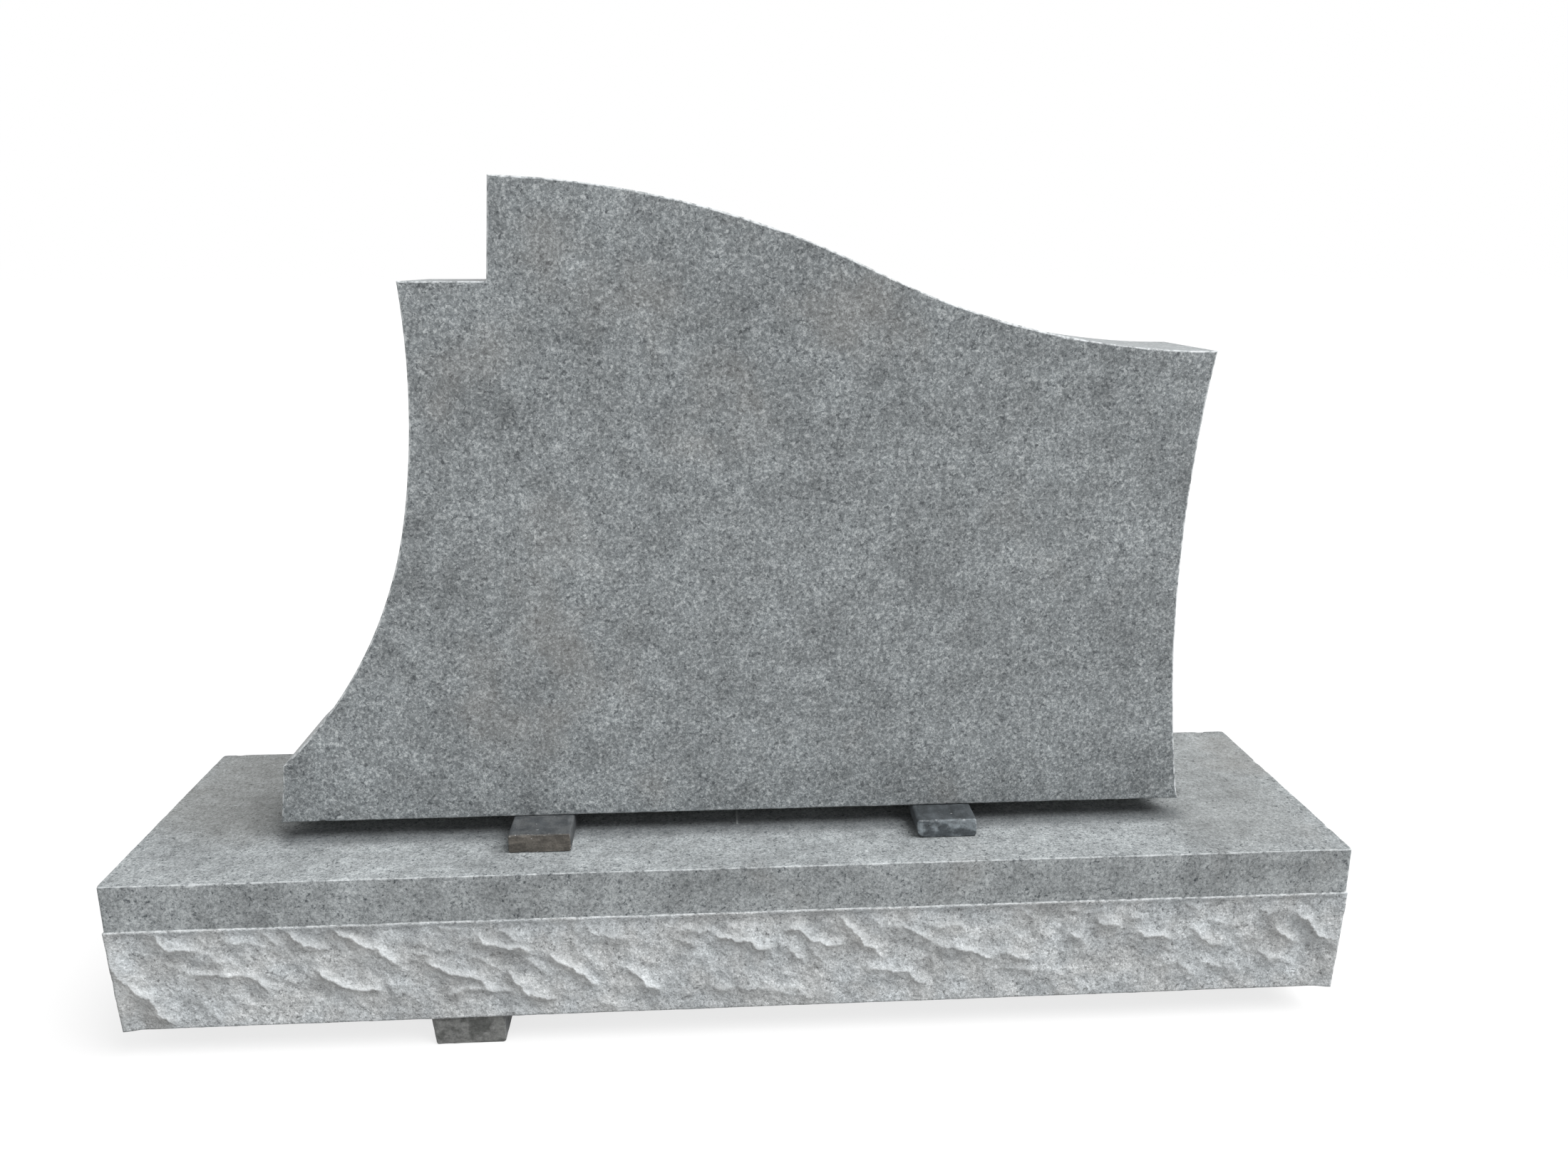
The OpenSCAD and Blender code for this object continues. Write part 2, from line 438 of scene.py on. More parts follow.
    def material(self) -> bpy.types.Material:
        """Makes the granite's material.

        Returns:
            The material, with a rock face where the mesh has its mark.
        """
        material, bench = new_material(self.name)
        place = bench.place()
        tone = self._crystals(bench, place)
        colour = self._smooth_colour(bench, place, tone)
        grit = bench.noise(place, self.grit_size, 3.0)
        roughness = self.roughness + 0.12 * (tone - 0.5) + 0.10 * (grit - 0.5)
        normal = bench.bump(0.5 * tone + 0.5 * grit, self.grain_depth, 0.35)
        for stroke in self.strokes:
            colour = bench.mix(colour, stroke.colour, stroke.strength * stroke.mask(bench, place))
        if self.pitched:
            rock = bench.mark("rock")
            colour = bench.mix(colour, self._rock_colour(bench, place, tone), rock)
            roughness = roughness + rock * (self.rock_roughness - roughness)
            chips = bench.noise(place, self.chip_size, 5.0)
            rough_normal = bench.bump(chips + 0.3 * tone, self.chip_depth, 0.8)
            normal = bench.node(
                "ShaderNodeMix",
                {"data_type": "VECTOR"},
                {"Factor_Float": rock, "A_Vector": normal, "B_Vector": rough_normal},
                "Result_Vector",
            )
        worn = bench.mark("arris") * bench.noise(place, self.wear_size, 3.0).rise(0.34, 0.62)
        colour = bench.mix(colour, self.crushed, worn)
        bench.surface(
            {
                "Base Color": colour,
                "Roughness": roughness + worn * 0.25,
                "Normal": normal,
                "Specular IOR Level": self.gloss,
            }
        )
        return material


@dataclass(frozen=True)
class Timber:
    """Weathered timber: streaks along its length, blotches, dull ends and worn edges."""

    name: str
    body: Colour
    blotch: Colour
    end: Colour
    end_blotch: Colour
    worn: Colour
    fleck: Colour = (0.50, 0.51, 0.51)
    roughness: float = 0.72
    gloss: float = 0.4
    streak_draw: Spot = (0.35, 0.08, 1.0)
    streak_size: float = 4 * MM
    blotch_size: float = 15 * MM
    pore_size: float = 2.2 * MM
    wear_size: float = 4 * MM
    fleck_size: float = 3 * MM
    bleach: float = 0.6
    grain_depth: float = 0.8 * MM

    def material(self) -> bpy.types.Material:
        """Makes the timber's material.

        Returns:
            The material, with end grain and worn edges where the mesh has their marks.
        """
        material, bench = new_material(self.name)
        place = bench.place()
        drawn = bench.vector("MULTIPLY", place, self.streak_draw)
        streak = bench.noise(drawn, self.streak_size, 4.0, curl=0.4)
        blotch = bench.noise(place, self.blotch_size, 5.0).rise(0.42, 0.60)
        sides = bench.mix(self.body, self.blotch, blotch)
        ends = bench.mix(self.end, self.end_blotch, blotch)
        colour = bench.mix(sides, ends, bench.mark("end"))
        pores = bench.noise(place, self.pore_size, 3.0)
        colour = bench.scale(colour, 1.0 + 1.5 * (streak - 0.5) + 1.3 * (pores - 0.5))
        worn = bench.mark("arris") * bench.noise(place, self.wear_size, 3.0).rise(0.50, 0.70)
        colour = bench.mix(colour, self.worn, self.bleach * worn)
        flecks = bench.noise(place, self.fleck_size, 1.0).rise(0.74, 0.81)
        bench.surface(
            {
                "Base Color": bench.mix(colour, self.fleck, self.bleach * flecks),
                "Roughness": self.roughness + 0.25 * (pores - 0.5),
                "Normal": bench.bump(0.6 * streak + 0.4 * pores, self.grain_depth, 0.6),
                "Specular IOR Level": self.gloss,
            }
        )
        return material


class Field:
    """A smooth random field in space, the same on every run."""

    TABLE = 4096
    PRIMES = (73856093, 19349663, 83492791)
    SCRAMBLE = 1274126177
    LAYER_SHIFT = 7.3

    def __init__(self, seed: int) -> None:
        """Draws the values that the field is made from."""
        self.values = np.random.default_rng(seed).uniform(-1.0, 1.0, self.TABLE)

    def _corner(self, cell: np.ndarray) -> np.ndarray:
        """Values at whole cells, which are scattered over the table."""
        mixed = np.bitwise_xor.reduce(cell * self.PRIMES, axis=-1)
        mixed ^= mixed >> 13
        return self.values[(mixed * self.SCRAMBLE >> 8) % self.TABLE]

    def at(self, points: np.ndarray, size: float) -> np.ndarray:
        """Values of the field.

        Args:
            points: Places, with x, y and z on the last axis. A shift of them gives another pattern.
            size: Distance between the field's features.

        Returns:
            One value from -1 to 1 for each place.
        """
        cells = points / size
        low = np.floor(cells).astype(np.int64)
        part = cells - low
        eased = part**3 * (part * (part * 6 - 15) + 10)
        total = np.zeros(points.shape[:-1])
        for step in np.ndindex(2, 2, 2):
            weight = np.where(np.array(step), eased, 1 - eased).prod(axis=-1)
            total += weight * self._corner(low + np.array(step))
        return total

    def layers(self, points: np.ndarray, size: float, count: int) -> np.ndarray:
        """Sum of the field at a size and at halves of it, each at half the strength."""
        shift = self.LAYER_SHIFT
        return sum(0.5**k * self.at(points + shift * k, size * 0.5**k) for k in range(count))


def ease(values: np.ndarray, low: float, high: float) -> np.ndarray:
    """Smooth step from 0 at low to 1 at high, where high may be the lesser."""
    part = np.clip((values - low) / (high - low), 0.0, 1.0)
    return part * part * (3 - 2 * part)


@dataclass(frozen=True)
class Wear:
    """Wear of an arris: its width, the share and size of the waves along it, and its chips."""

    width: float
    waves: Tuple[Span, ...]
    chip: float
    chip_size: float
    chip_range: Span
    chip_shift: float = 5.0

    def widths(self, noise: Field, places: np.ndarray) -> np.ndarray:
        """Works out how wide the arris is.

        Args:
            noise: The field that makes it uneven.
            places: Points along the arris.

        Returns:
            One width for each point.
        """
        uneven = sum((share * noise.at(places, size) for share, size in self.waves), 1.0)
        chips = ease(noise.at(places + self.chip_shift, self.chip_size), *self.chip_range)
        return self.width * uneven + self.chip * chips


@dataclass
class Rings:
    """Rings of points round a piece, from one end to the other, with values on the points."""

    points: np.ndarray
    marks: Dict[str, np.ndarray]

    def skin(self, name: str) -> bpy.types.Object:
        """Covers the rings and closes both ends.

        Args:
            name: Name of the new piece.

        Returns:
            The piece, with its marks as point attributes.
        """
        count, around = self.points.shape[:2]
        ids = np.arange(count * around).reshape(count, around)
        ahead = np.roll(ids, -1, axis=1)
        quads = np.stack([ids[:-1], ids[1:], ahead[1:], ahead[:-1]], axis=-1).reshape(-1, 4)
        faces = quads.tolist() + [ids[0].tolist(), ids[-1, ::-1].tolist()]
        mesh = bpy.data.meshes.new(name)
        mesh.from_pydata(self.points.reshape(-1, 3).tolist(), [], faces)
        for mark, values in self.marks.items():
            layer = mesh.attributes.new(mark, "FLOAT", "POINT")
            layer.data.foreach_set("value", values.astype(np.float32).ravel())
        mesh.shade_smooth()
        mesh.validate()
        return add_object(name, mesh)


def inward(outline: np.ndarray) -> np.ndarray:
    """Ways into a closed outline, long enough at corners to keep an even margin.

    Args:
        outline: Points in order, anticlockwise.

    Returns:
        One vector for each point.
    """
    run = np.roll(outline, -1, axis=0) - outline
    run /= np.linalg.norm(run, axis=1, keepdims=True)
    after = np.stack([-run[:, 1], run[:, 0]], axis=1)
    before = np.roll(after, 1, axis=0)
    return (after + before) / (1 + (after * before).sum(axis=1, keepdims=True))


def upright(outline: np.ndarray, depth: Level) -> np.ndarray:
    """Points of an outline of x and z, all at one depth or each at its own."""
    return np.column_stack([outline[:, 0], np.broadcast_to(depth, len(outline)), outline[:, 1]])


@dataclass(frozen=True)
class ArrisRing:
    """A ring of a worn arris, set in and back by shares of its width and by a narrow strip."""

    inset: float
    depth: float
    wear: float
    end: float
    strip_in: float = 0.0
    strip_back: float = 0.0


ARRIS_BULGE = 0.32
ARRIS_STRIP = 0.5 * MM
ARRIS_RINGS = (
    ArrisRing(1.0, 0.0, wear=0.0, end=1.0, strip_in=ARRIS_STRIP),
    ArrisRing(1.0, 0.0, wear=0.8, end=1.0),
    ArrisRing(ARRIS_BULGE, ARRIS_BULGE, wear=1.0, end=0.7),
    ArrisRing(0.0, 1.0, wear=0.8, end=0.2),
    ArrisRing(0.0, 1.0, wear=0.0, end=0.0, strip_back=ARRIS_STRIP),
)


def slab_rings(
    outline: np.ndarray,
    front: float,
    back: float,
    front_arris: np.ndarray,
    back_arris: np.ndarray,
    middle: Sequence[float] = (),
) -> Rings:
    """Rings of an upright slab or a block, with a worn arris round both ends.

    Args:
        outline: The section as x and z, anticlockwise as seen from the front.
        front: Place of the front end along y.
        back: Place of the back end along y.
        front_arris: Width of the front arris at each point of the outline.
        back_arris: Width of the back arris at each point.
        middle: Places along y of more rings between the ends.

    Returns:
        The rings, with marks for the arris and for the ends.
    """
    way = inward(outline)
    points: List[np.ndarray] = []
    values: Dict[str, List[float]] = {"arris": [], "end": []}

    def add(ring: np.ndarray, worn: float, end: float) -> None:
        """Adds a ring of points and its marks."""
        points.append(ring)
        values["arris"].append(worn)
        values["end"].append(end)

    def add_arris(ring: ArrisRing, arris: np.ndarray, start: float, sense: float) -> None:
        """Adds one ring of an end's arris.

        Args:
            ring: Which ring it is.
            arris: Width of the arris at each point.
            start: Place of the end along y.
            sense: 1 where the slab lies behind the end, -1 where it lies before it.
        """
        place = outline + way * (ring.inset * arris + ring.strip_in)[:, None]
        depth = start + sense * (ring.depth * arris + ring.strip_back)
        add(upright(place, depth), ring.wear, ring.end)

    for ring in ARRIS_RINGS:
        add_arris(ring, front_arris, front, 1.0)
    for place in middle:
        add(upright(outline, place), 0.0, 0.0)
    for ring in reversed(ARRIS_RINGS):
        add_arris(ring, back_arris, back, -1.0)
    shape = (len(points), len(outline))
    marks = {name: np.broadcast_to(np.array(row)[:, None], shape).copy() for name, row in values.items()}
    return Rings(np.array(points), marks)


def settle(piece: bpy.types.Object, node: str, slot: str, material: bpy.types.Material) -> None:
    """Puts a finished piece in the place of its node.

    Args:
        piece: The new piece.
        node: The node that it stands for.
        slot: Not used.
        material: The finish that it wears.
    """
    piece.data.materials.append(material)
    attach(piece, BODY)
    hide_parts(node)
    triangles = sum(len(face.vertices) - 2 for face in piece.data.polygons)
    log.info("%s: %d triangles", piece.name, triangles)


@dataclass
class Tablet:
    """The upright stone with its serpentine top, stepped shoulder and hollow sides."""

    finish: Granite
    node: str = "tablet"
    slot: str = "tablet_granite"
    spacing: float = 4 * MM
    corner_guard: float = 2.0 * MM
    corner_turn_deg: float = 12.0
    corner_arris: float = 0.5 * MM
    corner_widening: float = 0.25
    foot_edge: float = 3 * MM
    foot_wear: float = 0.15
    edge_wear: float = 0.7
    face_depth: float = 0.1 * MM
    doubled: float = 0.05 * MM
    wear: Wear = Wear(
        1.7 * MM,
        waves=((0.25, 32 * MM), (0.2, 9 * MM)),
        chip=2.2 * MM,
        chip_size=17 * MM,
        chip_range=(0.66, 0.95),
    )
    seed: int = 11

    def _solid_outline(self) -> np.ndarray:
        """Outline of the solid's front face.

        Returns:
            Its points as x and z, anticlockwise from the front.
        """
        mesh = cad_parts[self.node].data
        places = np.array([vertex.co for vertex in mesh.vertices])
        points, index = np.unique(np.round(places[:, [0, 2]], 6), axis=0, return_inverse=True)
        front = places[:, 1] < places[:, 1].min() + self.face_depth
        edges = set()
        for polygon in mesh.polygons:
            corners = list(polygon.vertices)
            if all(front[c] for c in corners):
                names = [int(index[c]) for c in corners]
                edges.update(zip(names, names[1:] + names[:1]))
        following = {a: b for a, b in edges if (b, a) not in edges}
        loop = [min(following)]
        while following[loop[-1]] != loop[0]:
            loop.append(following[loop[-1]])
        outline = points[loop]
        return outline[np.linalg.norm(outline - np.roll(outline, 1, axis=0), axis=1) > self.doubled]

    def _curve(self, points: np.ndarray) -> Tuple[np.ndarray, np.ndarray]:
        """Even points along a smooth curve through the given ones, without the last.

        Args:
            points: Points from one corner of the outline to the next.

        Returns:
            Points a spacing apart, with one close to each corner, and their distances to the
            nearer corner.
        """
        steps = np.linalg.norm(np.diff(points, axis=0), axis=1)
        reach = np.concatenate([[0.0], np.cumsum(steps)])
        if len(points) > 2:
            slope = np.gradient(points, reach, axis=0)
        else:
            slope = np.broadcast_to(np.diff(points, axis=0) / reach[-1], points.shape)
        count = max(2, round(reach[-1] / self.spacing))
        even = np.linspace(0.0, reach[-1], count + 1)[1:-1]
        want = np.concatenate([[0.0, self.corner_guard], even, [reach[-1] - self.corner_guard]])
        left = np.clip(np.searchsorted(reach, want, side="right") - 1, 0, len(points) - 2)
        size = steps[left][:, None]
        t = (want - reach[left])[:, None] / size
        curve = (
            (2 * t**3 - 3 * t**2 + 1) * points[left]
            + (t**3 - 2 * t**2 + t) * size * slope[left]
            + (3 * t**2 - 2 * t**3) * points[left + 1]
            + (t**3 - t**2) * size * slope[left + 1]
        )
        return curve, np.minimum(want, reach[-1] - want)

    def outline(self) -> Tuple[np.ndarray, np.ndarray]:
        """Fine outline of the tablet, with its corners kept.

        Returns:
            The points, and their distances to the nearest corner.
        """
        points = self._solid_outline()
        run = np.roll(points, -1, axis=0) - points
        heading = np.degrees(np.arctan2(run[:, 1], run[:, 0]))
        turn = (heading - np.roll(heading, 1) + 180) % 360 - 180
        corners = np.flatnonzero(np.abs(turn) > self.corner_turn_deg)
        stretches = []
        for first, last in zip(corners, np.roll(corners, -1)):
            count = (last - first) % len(points)
            stretches.append(self._curve(points[(first + np.arange(count + 1)) % len(points)]))
        curves, to_corner = zip(*stretches)
        return np.concatenate(curves), np.concatenate(to_corner)

    def _arris(self, outline: np.ndarray, to_corner: np.ndarray, depth: float) -> np.ndarray:
        """Uneven width of the arris along the outline, narrow at the corners.

        Args:
            outline: The tablet's outline.
            to_corner: Distance of each point to the nearest corner.
            depth: Place of the arris along y.

        Returns:
            One width for each point.
        """
        widths = self.wear.widths(Field(self.seed), upright(outline, depth))
        return np.minimum(widths, self.corner_arris + self.corner_widening * to_corner)

    def build(self) -> None:
        """Builds the tablet and dresses it."""
        low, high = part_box(self.node)
        outline, to_corner = self.outline()
        front, back = (self._arris(outline, to_corner, depth) for depth in (low.y, high.y))
        rings = slab_rings(outline, low.y, high.y, front, back)
        at_foot = outline[:, 1] < low.z + self.foot_edge
        rings.marks["arris"] *= np.where(at_foot, self.foot_wear, self.edge_wear)
        settle(rings.skin("granite_tablet"), self.node, self.slot, self.finish.material())


class Face(Enum):
    """The four upright sides of the base in order round it, by the way that each one faces."""

    FRONT = (0, -1)
    RIGHT = (1, 0)
    BACK = (0, 1)
    LEFT = (-1, 0)


@dataclass(frozen=True)
class Relief:
    """Height of a rock face in millimetres, with marks for its crests and its hollows: pale crushed
    stone with a painted highlight, and dirt with painted shade.
    """

    out: np.ndarray
    crest: np.ndarray
    hollow: np.ndarray

    def __add__(self, other: "Relief") -> "Relief":
        """Both heights together, with the stronger of the marks."""
        crest = np.maximum(self.crest, other.crest)
        return Relief(self.out + other.out, crest, np.maximum(self.hollow, other.hollow))

    def __mul__(self, share: np.ndarray) -> "Relief":
        """The relief made weaker by a share at each point."""
        return Relief(self.out * share, self.crest * share, self.hollow * share)


@dataclass(frozen=True)
class Lip:
    """A ridge that the pitching chisel left, steep above and hollow below, in millimetres."""

    height: float
    line: Tuple[Point, ...]
    swell: float = 13.0
    hollow: float = 23.0
    dip: float = 0.40
    recovery: float = 2.5
    crest: float = 5.0
    dirt_and_shade_reach: float = 0.5
    fade: float = 9.0
    full_height: float = 3.0

    def _near(self, along: np.ndarray, up: np.ndarray) -> Tuple[np.ndarray, np.ndarray, float]:
        """Finds where points lie by the ridge line.

        Args:
            along: Places along the face from its left end.
            up: Places above the foot of the face.

        Returns:
            Their distances above the line, their places along it, and its length.
        """
        nearest = np.full(along.shape, np.inf)
        above, reach = np.zeros(along.shape), np.zeros(along.shape)
        done = 0.0
        last = len(self.line) - 2
        for index, (start, end) in enumerate(zip(self.line, self.line[1:])):
            run = np.subtract(end, start)
            length = float(np.hypot(*run))
            run = run / length
            part = (along - start[0]) * run[0] + (up - start[1]) * run[1]
            side = (up - start[1]) * run[0] - (along - start[0]) * run[1]
            held = np.clip(part, 0.0 if index else -np.inf, np.inf if index == last else length)
            gap = np.hypot(part - held, side)
            closer = gap < nearest
            nearest = np.where(closer, gap, nearest)
            above = np.where(closer, np.copysign(gap, side), above)
            reach = np.where(closer, done + held, reach)
            done += length
        return above, reach, done

    def relief(self, along: np.ndarray, up: np.ndarray) -> Relief:
        """What the lip adds at points of its face.

        Args:
            along: Places along the face from its left end.
            up: Places above the foot of the face.

        Returns:
            The lip's relief, lower than the face in its hollow.
        """
        above, reach, length = self._near(along, up)
        ends = ease(reach, -self.fade, self.fade) * ease(reach, length + self.fade, length - self.fade)
        over, under = np.maximum(above, 0), np.maximum(-above, 0)
        swell = np.maximum(1 - over / self.swell, 0) ** 2
        fall = 1 - np.maximum(1 - under / self.hollow, 0) ** 2
        back = ease(under, self.hollow, self.recovery * self.hollow)
        out = np.where(above > 0, swell, 1 - (1 + self.dip) * fall + self.dip * back)
        # Marks for the colour: a pale crest above, crushed stone and painted highlight; a dark hollow
        # below, dirt and painted shade.
        mark = ends * min(1.0, self.height / self.full_height)
        return Relief(
            self.height * ends * out,
            mark * (above > 0) * np.exp(-over / self.crest),
            mark * (above <= 0) * np.exp(-under / (self.dirt_and_shade_reach * self.hollow)),
        )


def front_lips() -> List[Lip]:
    """The main ridges that show on the front.

    Returns:
        The ridges, by places along the face and above its foot, roughly from left to right. The
        first one runs along the spall of the corner.
    """
    return [
        Lip(3.2, ((-2, 101), (6, 72), (15, 57), (34, 41), (40, 23), (55, 5)), swell=22.0, hollow=60.0),
        Lip(3.6, ((51, 119), (57, 107), (68, 100), (93, 96))),
        Lip(1.6, ((103, 93), (111, 87), (127, 82))),
        Lip(1.7, ((130, 107), (141, 104), (152, 104))),
        Lip(1.9, ((161, 118), (172, 109), (184, 98))),
        Lip(2.8, ((192, 119), (196, 108), (207, 103), (229, 93))),
        Lip(3.8, ((238, 122), (246, 112), (271, 96), (286, 92), (307, 74))),
        Lip(4.0, ((216, 67), (231, 58), (261, 42), (274, 44), (283, 36))),
        Lip(2.3, ((84, 66), (101, 68), (138, 62), (153, 58), (163, 45))),
        Lip(2.6, ((326, 84), (332, 83), (341, 78))),
        Lip(3.4, ((338, 73), (356, 60), (392, 51), (399, 41), (407, 35))),
        Lip(3.8, ((392, 103), (405, 95), (420, 88), (439, 88), (450, 79))),
        Lip(2.0, ((351, 120), (364, 112), (375, 110))),
        Lip(1.8, ((417, 110), (432, 101), (444, 97))),
        Lip(1.6, ((380, 73), (393, 73), (414, 58))),
        Lip(3.6, ((424, 54), (431, 43), (455, 25), (471, 23))),
        Lip(2.0, ((358, 32), (378, 37), (421, 35), (432, 28))),
        Lip(1.6, ((446, 75), (455, 63), (465, 54))),
        Lip(3.0, ((470, 80), (492, 61), (509, 46), (519, 35))),
        Lip(2.0, ((512, 112), (519, 101), (549, 93))),
        Lip(3.0, ((555, 59), (565, 50), (574, 35), (590, 27))),
        Lip(1.8, ((612, 103), (631, 102), (651, 100))),
        Lip(2.0, ((611, 91), (621, 88), (631, 83))),
        Lip(3.2, ((653, 93), (670, 93), (690, 87), (702, 78), (718, 76))),
        Lip(3.2, ((730, 100), (746, 98), (763, 81), (796, 76))),
        Lip(2.2, ((734, 77), (744, 66), (752, 56))),
        Lip(2.0, ((758, 76), (770, 62), (780, 55))),
        Lip(3.4, ((792, 110), (814, 88), (822, 78), (838, 64))),
        Lip(2.4, ((854, 99), (870, 94), (886, 85), (900, 80))),
        Lip(2.0, ((899, 75), (911, 68), (941, 67))),
        Lip(2.4, ((823, 48), (871, 37), (892, 22))),
        Lip(1.6, ((650, 28), (698, 24), (714, 28), (744, 15))),
        Lip(1.6, ((898, 98), (918, 96), (937, 92))),
        Lip(3.0, ((923, 71), (940, 63), (969, 54))),
        Lip(2.4, ((977, 62), (993, 56), (1012, 52))),
        Lip(1.6, ((967, 36), (978, 41), (1023, 35))),
        Lip(1.7, ((990, 116), (1003, 109), (1011, 102))),
        Lip(1.8, ((1051, 119), (1060, 109))),
        Lip(2.4, ((1053, 85), (1064, 77), (1075, 68))),
        Lip(2.4, ((1085, 100), (1095, 92), (1114, 89))),
        Lip(1.6, ((1118, 103), (1126, 98), (1138, 99))),
        Lip(3.0, ((1131, 85), (1140, 77), (1163, 74), (1174, 69))),
        Lip(1.8, ((1185, 116), (1195, 109), (1204, 104))),
        Lip(2.4, ((1195, 86), (1204, 77), (1234, 57))),
        Lip(1.8, ((1164, 34), (1185, 37), (1206, 19))),
        Lip(1.8, ((1214, 38), (1232, 32), (1253, 26))),
        Lip(2.2, ((1275, 105), (1285, 99), (1293, 103))),
        Lip(2.8, ((1294, 83), (1300, 75), (1323, 61))),
        Lip(3.6, ((1319, 98), (1333, 90), (1347, 70), (1368, 63))),
        Lip(1.6, ((1218, 91), (1239, 87), (1256, 86))),
        Lip(1.8, ((1281, 46), (1299, 38), (1312, 34))),
    ]


@dataclass(frozen=True)
class RidgeKind:
    """Ridges of one kind that are spread over a side at random, in millimetres."""

    gap: float
    reach: Span
    height: Span
    levels: Tuple[float, ...] = (0.25, 0.75)
    level_shift: Span = (-0.2, 0.25)
    fall_deg: float = 34.0
    fall_shift_deg: Span = (-16.0, 14.0)
    bow: Span = (-0.16, 0.2)
    bend: Span = (0.3, 0.7)

    def spread(self, random: np.random.Generator, side_length: float, side_height: float) -> List[Lip]:
        """Draws the ridges of a side.

        Args:
            random: Where the draws come from.
            side_length: Length of the side.
            side_height: Height of its rock face.

        Returns:
            The ridges, from left to right.
        """
        lips = []
        for left in np.arange(-0.5 * self.gap, side_length, self.gap):
            for level in self.levels:
                level += random.uniform(*self.level_shift)
                start = np.array([left + random.uniform(0, self.gap), side_height * level])
                fall = math.radians(self.fall_deg + random.uniform(*self.fall_shift_deg))
                reach = random.uniform(*self.reach)
                height = random.uniform(*self.height)
                run = reach * np.array([math.cos(fall), -math.sin(fall)])
                bow = random.uniform(*self.bow) * np.array([-run[1], run[0]])
                bend = start + random.uniform(*self.bend) * run + bow
                lips.append(Lip(height, (tuple(start), tuple(bend), tuple(start + run))))
        return lips


RIDGE_GAP_MM = 52.0
LARGE_RIDGES = RidgeKind(RIDGE_GAP_MM, reach=(40.0, 95.0), height=(2.2, 4.0))
SMALL_RIDGES = RidgeKind(0.6 * RIDGE_GAP_MM, reach=(20.0, 45.0), height=(0.4, 1.2))


@dataclass(frozen=True)
class Shingles:
    """Rows of ridges over a whole face, each falling to the right, in millimetres."""

    pitch: float
    height: float
    fall_deg: float
    cliff: float = 0.32
    crest: float = 5.0
    hollow: float = 8.0
    sweep: float = 2.2
    mean: float = 0.4

    def relief(self, along: np.ndarray, up: np.ndarray, wander: np.ndarray) -> Relief:
        """What the rows add at points of a face.

        Args:
            along: Places along the face from its left end.
            up: Places above the foot of the face.
            wander: Shift of the rows at each point, in parts of their pitch.

        Returns:
            The rows' relief about their middle height.
        """
        fall = math.radians(self.fall_deg)
        step = (along * math.sin(fall) + up * math.cos(fall)) / self.pitch + wander
        part = step - np.floor(step)
        cliff = np.maximum(part - 1 + self.cliff, 0) ** 2 / self.cliff**2
        out = np.maximum((1 - part) ** self.sweep, cliff)
        # Marks for the colour: the crest is crushed stone and painted highlight, the hollow is dirt and
        # painted shade.
        crest = np.exp(-part * self.pitch / self.crest)
        hollow = np.exp((part - 1) * self.pitch / self.hollow)
        return Relief(self.height * (out - self.mean), crest, hollow)


@dataclass(frozen=True)
class Stations:
    """Places round the base's margin, anticlockwise from the front left corner."""

    places: np.ndarray
    ways: np.ndarray
    alongs: np.ndarray
    reach: np.ndarray
    length: np.ndarray
    sides: np.ndarray

    @property
    def to_corner(self) -> np.ndarray:
        """Distance of each place to the nearer corner of its side."""
        return np.minimum(self.reach, self.length - self.reach)

    def drawn_in(self, inset: np.ndarray) -> np.ndarray:
        """The places moved in from the margin, with each side kept between its corners.

        Args:
            inset: Distance to move each place in by.

        Returns:
            The moved places.
        """
        corners = inset[self.reach == 0.0]
        part = self.reach / self.length
        start, end = corners[self.sides], np.roll(corners, -1)[self.sides]
        slide = np.where(part > 0.0, start * (1 - part) - end * part, 0.0)
        return self.places - self.ways * inset[:, None] + self.alongs * slide[:, None]


